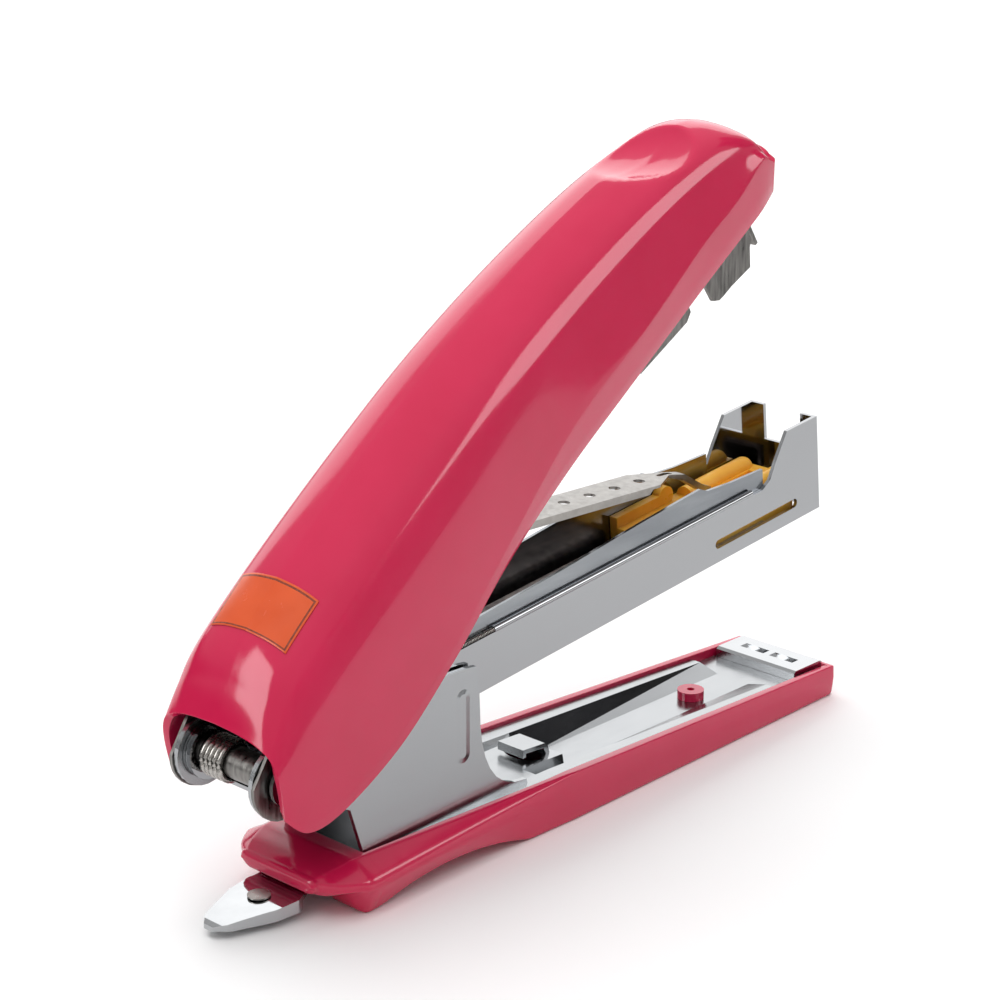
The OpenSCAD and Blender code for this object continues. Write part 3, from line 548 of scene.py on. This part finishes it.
# millimetres: lengths from the hinge towards the nose, heights from the table
BASE_REACH, BASE_FRONT_HALF, BASE_REAR_HALF, BASE_WIDEST = 98.6, 8.1, 10.2, 9
CHEEK_HALF, PLATEAU = 6.4, 6.5
LIP, FOOT, ARCH_FROM, ARCH_TO, ARCH_RISE = 5.3, 9.6, 13.0, 37.0, 1.8
PLATE_REAR, WIDE_FROM, PLATE_FRONT = 12.0, 41.0, BASE_REACH - 1.4
# the wide part of the plate has this half width at the reach and gains so much over so many millimetres
PLATE_HALF, PLATE_GAIN, GAIN_OVER = 6.9, 1.1, 60
POCKET_GAP = 0.12
POCKET_FLOOR = 0.9
SLOT_HALF, SLOT_TOP, SLOT_END = 3.6, 4.9, 15.0
RIM_FRONT, RIM_SLOPE = 4.3, 0.04
# the swelling of the rear starts at the first place and is full at the second
REAR_TO, REAR_FULL = 45, 9
# how much each inner corner of the section is rounded, from the slot below to the pocket's floor
SECTION_ROUNDS = [0.3, 0.15, 0.5, 0.7, 0.45, 0.3, 0.12, 0.05]
# the radius that rounds each end, and the rings it takes
REAR_END_ROUND, FRONT_END_ROUND, END_STEPS = 0.75, 0.9, 6
STEP_HALF = 0.02
WELD = 0.5e-6


def rim(x):
    """The height of the rim."""
    return min(PLATEAU, RIM_FRONT + RIM_SLOPE * (BASE_REACH - x))


def rear_share(x):
    """0 on the straight front of the base, rising to 1 at its swollen rear."""
    return max(0.0, min(1.0, (REAR_TO - x) / (REAR_TO - REAR_FULL)))


def base_half(x):
    share = (BASE_REACH - x) / (BASE_REACH - BASE_WIDEST)
    return BASE_FRONT_HALF + (BASE_REAR_HALF - BASE_FRONT_HALF) * share


def plate_half(x):
    """Half the width of the metal plate's pocket, which narrows between the cheeks."""
    def wide(at):
        return PLATE_HALF + PLATE_GAIN * (BASE_REACH - at) / GAIN_OVER
    if x > WIDE_FROM:
        return wide(x)
    narrow = CHEEK_HALF + 0.05
    return narrow + (wide(WIDE_FROM) - narrow) * (x - PLATE_REAR) / (WIDE_FROM - PLATE_REAR)


def arch(x):
    """The height of the arch under the base, a circle's arc."""
    half = (ARCH_TO - ARCH_FROM) / 2
    r = (half * half + ARCH_RISE * ARCH_RISE) / (2 * ARCH_RISE)
    off = x - (ARCH_FROM + ARCH_TO) / 2
    return math.sqrt(r * r - off * off) - (r - ARCH_RISE) if abs(off) < half else 0.0


def base_outline(x):
    """(half width, height) of the four long edges of the base at x: bottom, low ridge, high ridge, rim."""
    rear = rear_share(x)
    half = base_half(x)
    return [
        (half - 0.3 - 1.6 * rear, arch(x)), (half, rim(x) - 1.8 - 0.9 * rear),
        (half - 0.1 - 0.3 * rear, rim(x) - 0.05 - 1.7 * rear),
        ((half - 0.35) * (1 - rear) + (CHEEK_HALF + 0.5) * rear, rim(x)),
    ]


def fillet(corners, radii, steps=4):
    """The polyline with each inner corner rounded; the same number of points whatever the corners."""
    out = [corners[0]]
    for before, here, after, r in zip(corners, corners[1:], corners[2:], radii):
        here = Vector(here)
        back, ahead = Vector(before) - here, Vector(after) - here
        reach = min(r, back.length * 0.45, ahead.length * 0.45)
        a = here + back.normalized() * reach if back.length else here
        b = here + ahead.normalized() * reach if ahead.length else here
        for k in range(steps + 1):
            f = k / steps
            out.append(tuple((1 - f) ** 2 * a + 2 * f * (1 - f) * here + f * f * b))
    return out + [corners[-1]]


def base_section(x, edges, pocket, slot):
    """Half cross section of the base; pocket and slot say whether it cuts the plate's pocket and the slot."""
    bottom, low, high, top = edges
    floor_z = POCKET_FLOOR + arch(x) if pocket else top[1]
    slot_z = SLOT_TOP if slot else bottom[1]
    inner = min(plate_half(x) + POCKET_GAP, top[0] - 0.1) if pocket else top[0] - 0.4
    corners = [(0, slot_z), (SLOT_HALF, slot_z), (SLOT_HALF, bottom[1]), bottom, low, high, top,
               (inner, top[1]), (inner, floor_z), (0, floor_z)]
    return fillet(corners, SECTION_ROUNDS)


def base_cover():
    """The base: closed sections from the rear lip to the front, both ends rounded."""
    # the swollen rear end: where, then the four edges as base_outline gives them
    foot_half = base_half(FOOT)
    lip_rows = [
        (LIP, [(5.2, 3.2), (6.2, 3.9), (6.4, 4.8), (5.6, 5.3)]),
        (LIP + 1.2, [(6.4, 2.9), (8.0, 3.8), (8.1, 4.8), (6.2, 5.8)]),
        (LIP + 3.3, [(7.0, 2.7), (9.6, 3.8), (9.7, 4.8), (CHEEK_HALF + 0.4, 6.3)]),
        (FOOT, [(7.4, 0.9), (foot_half, 3.8), (foot_half - 0.3, 4.9), (CHEEK_HALF + 0.5, PLATEAU)]),
        (FOOT + 1, base_outline(FOOT + 1)),
        (FOOT + 3, base_outline(FOOT + 3)),
    ]
    flat = [(x,) + tuple(v for edge in edges for v in edge) for x, edges in lip_rows]
    rows = []
    lip_steps = 30
    for k in range(lip_steps + 1):
        values = smooth(flat, k / lip_steps)
        rows.append((values[0], [tuple(values[1 + 2 * e:3 + 2 * e]) for e in range(4)]))
    front = BASE_REACH - 1
    x = rows[-1][0]
    while x < front - 0.01:
        x = min(front, x + 1.0)
        rows.append((x, base_outline(x)))
    # the pocket and the slot start and end in upright steps, each a pair of sections close together
    pocket_from, pocket_to = PLATE_REAR - POCKET_GAP, PLATE_FRONT + POCKET_GAP
    stations = [(x, edges, pocket_from < x < pocket_to, LIP < x < SLOT_END) for x, edges in rows]
    for x, before, after in ((pocket_from, False, True), (pocket_to, True, False)):
        stations.append((x - STEP_HALF, base_outline(x), before, x < SLOT_END))
        stations.append((x + STEP_HALF, base_outline(x), after, x < SLOT_END))
    stations.append((SLOT_END - STEP_HALF, base_outline(SLOT_END), True, True))
    stations.append((SLOT_END + STEP_HALF, base_outline(SLOT_END), True, False))
    stations = sorted(stations, key=lambda s: s[0])
    rings = []
    for x, edges, pocket, slot in stations:
        half = base_section(x, edges, pocket, slot)
        rings.append([(x, -y, z) for y, z in half] + [(x, y, z) for y, z in reversed(half)])
    # rounded ends
    for end, sign, r in ((0, -1, REAR_END_ROUND), (-1, 1, FRONT_END_ROUND)):
        edge = rings[end]
        middle = Vector((edge[0][0], 0, sum(p[2] for p in edge) / len(edge)))
        for k in range(1, END_STEPS + 1):
            a = math.pi / 2 * k / END_STEPS
            ring = []
            for p in edge:
                off = Vector(p) - middle
                pull = r * (1 - math.cos(a))
                side = max(0.0, abs(off.y) - pull) * (1 if off.y > 0 else -1)
                up = max(0.0, abs(off.z) - pull) * (1 if off.z > 0 else -1)
                ring.append((p[0] + sign * r * math.sin(a), side, middle.z + up))
            rings = rings + [ring] if sign > 0 else [ring] + rings
    columns = len(rings[0])
    points = [on_floor(p) for ring in rings for p in ring]
    faces = grid_faces(len(rings), columns, closed=True)
    faces.append(tuple(range(columns - 1, -1, -1)))
    faces.append(tuple((len(rings) - 1) * columns + j for j in range(columns)))
    cover = mesh_piece("base_shell", points, faces, "base", materials["body_plastic"])
    face_outside(cover.data, WELD)
    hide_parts("base_cover")


base_cover()


# ---------- sticker, springs ----------

# from and to as shares of the cover's length, side as a share of its half width, lift and film in millimetres
LABEL_FROM, LABEL_TO, LABEL_SIDE = 0.19, 0.245, 0.6
LABEL_LIFT, LABEL_FILM = 0.09, 0.1


def label():
    """The plain sticker: a sheet that follows the crown, with a film's thickness."""
    rows, columns = 34, 61
    points = []
    for i in range(rows):
        t = LABEL_FROM + (LABEL_TO - LABEL_FROM) * i / (rows - 1)
        curve = section(t)
        for j in range(columns):
            share = LABEL_SIDE * (2 * j / (columns - 1) - 1)
            last = next(k for k in range(len(curve) - 1, -1, -1) if curve[k][0] >= abs(share))
            a, b = curve[last], curve[min(last + 1, len(curve) - 1)]
            f = (a[0] - abs(share)) / (a[0] - b[0]) if a[0] != b[0] else 0
            p = cover_point(t, (abs(share), a[1] + (b[1] - a[1]) * f), -LABEL_LIFT)
            points.append(in_handle((p[0], math.copysign(p[1], share), p[2])))
    sticker = mesh_piece("sticker", points, grid_faces(rows, columns), "handle", materials["label"])
    # a thin printed line round the edge
    sticker.data.materials.append(label_border())
    for face in sticker.data.polygons:
        i, j = divmod(face.index, columns - 1)
        if min(i, rows - 2 - i, j, columns - 2 - j) == 1:
            face.material_index = 1
    thick = sticker.modifiers.new("film", "SOLIDIFY")
    thick.thickness = LABEL_FILM * MM
    thick.offset = 0
    bevel(sticker, 0.03, 2, 40)
    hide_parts("cover_label")


def coil_piece(name, path, wire, body, slot, sides=10):
    """A tube of the given wire radius along a path of row-frame points."""
    points = []
    for i, p in enumerate(path):
        ahead = path[min(i + 1, len(path) - 1)] - path[max(i - 1, 0)]
        turn = ahead.to_track_quat("Z", "Y")
        for k in range(sides):
            a = 2 * math.pi * k / sides
            points.append(p + turn @ Vector((math.cos(a), math.sin(a), 0)) * wire * MM)
    faces = grid_faces(len(path), sides, closed=True)
    faces.append(tuple(range(sides)))
    faces.append(tuple((len(path) - 1) * sides + k for k in range(sides)))
    piece = mesh_piece(name, points, faces, body, materials[slot])
    face_outside(piece.data)
    return piece


COIL_R, COIL_WIRE, COIL_FROM, COIL_TO = 2.25, 0.35, 0.6, 4.5
LEG, UPPER_LEG_TILT, LOWER_LEG_TILT = 8, math.radians(8), math.radians(14)
WIRE_SHARE = 0.97


def return_spring():
    """The torsion spring round the hinge pin, between the magazine and the base."""
    turns, steps = 4.5, 28
    low, high = COIL_FROM + COIL_WIRE, COIL_TO - COIL_WIRE
    path = []
    # leg on the magazine side, the coil, then the leg on the base side
    for k in range(LEG, 0, -1):
        path.append((k * math.cos(UPPER_LEG_TILT), low, COIL_R + k * math.sin(UPPER_LEG_TILT)))
    for k in range(int(turns * steps) + 1):
        a = math.pi / 2 + 2 * math.pi * k / steps
        y = low + (high - low) * k / (turns * steps)
        path.append((COIL_R * math.cos(a), y, COIL_R * math.sin(a)))
    for k in range(1, LEG + 1):
        path.append((k * math.cos(LOWER_LEG_TILT), high, -COIL_R - k * math.sin(LOWER_LEG_TILT)))
    level = tilted(0.0)
    path = [level(p) for p in path]
    spring = coil_piece("torsion_spring", path, COIL_WIRE * WIRE_SHARE, "base", "spring_steel")
    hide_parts("return_spring")


def pusher_springs():
    """The two fine pull springs in the magazine's side tubes."""
    # the middle of each coil from the magazine's own axes, its radius and its wire's
    tube_y, tube_up, r, wire = 5.25, 3.75, 0.22, 0.075
    start, end, pitch, steps = 25.2, 38.5, 0.24, 12
    for side, name in ((-1, "near_pull_spring"), (1, "far_pull_spring")):
        count = int((end - start) / pitch * steps)
        path = []
        for k in range(count + 1):
            a = 2 * math.pi * k / steps
            path.append(in_magazine((start + (end - start) * k / count, side * tube_y + r * math.cos(a),
                                     tube_up + r * math.sin(a))))
        spring = coil_piece(name, path, wire, "magazine", "spring_steel", 6)
        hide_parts("pusher_springs")


label()
return_spring()
pusher_springs()


# ---------- scene ----------

AZIMUTH, ELEVATION, ROLL = (math.radians(a) for a in (-46.67, 18.58, 0.164))
CAMERA_AT = (-0.245, -0.2057, 0.1404)
LENS = 97.02
TARGET = (0, 0, 0.03)
FLOOR_REACH = 4.0
# (height in the sky, brightness): dark at the horizon and below, brightest overhead
SKY = ((0.0, 0.16), (0.09, 0.2), (0.2, 0.75), (0.45, 1.0), (1.0, 1.35))
SKY_STRENGTH = 0.55


def camera():
    c, s = math.cos(AZIMUTH), math.sin(AZIMUTH)
    right = Vector((c, s, 0))
    back = Vector((s * math.cos(ELEVATION), -c * math.cos(ELEVATION), math.sin(ELEVATION)))
    up = back.cross(right)
    turn = Matrix((right, up, back)).transposed() @ Matrix.Rotation(ROLL, 3, "Z")
    eye = bpy.data.objects.new("camera", bpy.data.cameras.new("camera"))
    eye.data.lens = LENS
    eye.data.clip_start = 0.01
    eye.matrix_world = Matrix.Translation(CAMERA_AT) @ turn.to_4x4()
    bpy.context.scene.collection.objects.link(eye)
    bpy.context.scene.camera = eye


def area_light(name, at, size, power, roll=0.0, shines=True, shows=True):
    """A soft box aimed at the object. Without shines it is only reflected; without shows it only lights."""
    light = bpy.data.lights.new(name, "AREA")
    light.shape = "RECTANGLE"
    light.size, light.size_y = size
    light.energy = power
    lamp = bpy.data.objects.new(name, light)
    turn = (Vector(TARGET) - Vector(at)).to_track_quat("-Z", "Y").to_matrix()
    turn = turn @ Matrix.Rotation(math.radians(roll), 3, "Z")
    lamp.matrix_world = Matrix.Translation(at) @ turn.to_4x4()
    lamp.visible_diffuse = shines
    lamp.visible_glossy = shows
    bpy.context.scene.collection.objects.link(lamp)


def flag(name, ends, low, high, grey):
    """A grey card beside the table, seen only in reflections: it keeps what reflects it deep in tone."""
    mesh = bpy.data.meshes.new(name)
    points = [(x, y, z) for x, y in ends for z in (low, high)]
    mesh.from_pydata(points, [], [(2 * k, 2 * k + 2, 2 * k + 3, 2 * k + 1) for k in range(len(ends) - 1)])
    card = bpy.data.objects.new(name, mesh)
    shader = Shader(name + "_cloth", roughness=0.9)
    shader.vary_color(shader.noise(3), [grey * 0.9] * 3, [grey * 1.1] * 3)
    mesh.materials.append(shader.material)
    card.visible_camera = False
    card.visible_diffuse = False
    card.visible_shadow = False
    bpy.context.scene.collection.objects.link(card)


def floor():
    mesh = bpy.data.meshes.new("floor")
    corners = [(x * FLOOR_REACH, y * FLOOR_REACH, 0) for x, y in ((-1, -1), (1, -1), (1, 1), (-1, 1))]
    mesh.from_pydata(corners, [], [(0, 1, 2, 3)])
    plane = bpy.data.objects.new("floor", mesh)
    shader = Shader("floor_paper", roughness=0.7)
    shader.vary_color(shader.noise(60), (0.925, 0.925, 0.925), (0.935, 0.935, 0.935))
    mesh.materials.append(shader.material)
    bpy.context.scene.collection.objects.link(plane)


def world():
    scene = bpy.context.scene
    scene.world = bpy.data.worlds.new("studio")
    scene.world.use_nodes = True
    tree = scene.world.node_tree
    background = tree.nodes["Background"]
    background.inputs["Strength"].default_value = SKY_STRENGTH
    place = tree.nodes.new("ShaderNodeTexCoord")
    split = tree.nodes.new("ShaderNodeSeparateXYZ")
    ramp = tree.nodes.new("ShaderNodeValToRGB")
    for position, _ in SKY[1:-1]:
        ramp.color_ramp.elements.new(position)
    for element, (position, grey) in zip(ramp.color_ramp.elements, SKY):
        element.position = position
        element.color = (grey, grey, grey, 1)
    tree.links.new(place.outputs["Generated"], split.inputs["Vector"])
    tree.links.new(split.outputs["Z"], ramp.inputs["Fac"])
    tree.links.new(ramp.outputs["Color"], background.inputs["Color"])
    scene.view_settings.view_transform = "Standard"


camera()
floor()
world()
# side_flag stands round the open side, where the cover's flank and the base reflect it
flag("side_flag", [(0.50, 0.02), (0.175, -0.12), (0.19, -0.23), (0.13, -0.26), (0.05, -0.20), (0.0, -0.15),
                   (-0.1, -0.12), (-0.3, -0.12)], 0.001, 0.12, 0.4)
flag("nose_flag", [(0.42, 0.03), (0.40, -0.1), (0.34, -0.22)], 0.2, 0.58, 0.13)
area_light("overhead", (-0.1, 0.1, 1.0), (1.6, 1.2), 9.2, shows=False)
area_light("side_strip", (0.33, -0.66, 0.46), (0.8, 0.42), 4.3, roll=-28, shines=False)
area_light("rear_box", (-0.77, 0.34, 0.44), (0.42, 0.46), 2.9, shines=False)
area_light("back_panel", (0.65, 0.9, 0.49), (1.6, 0.82), 5.6)
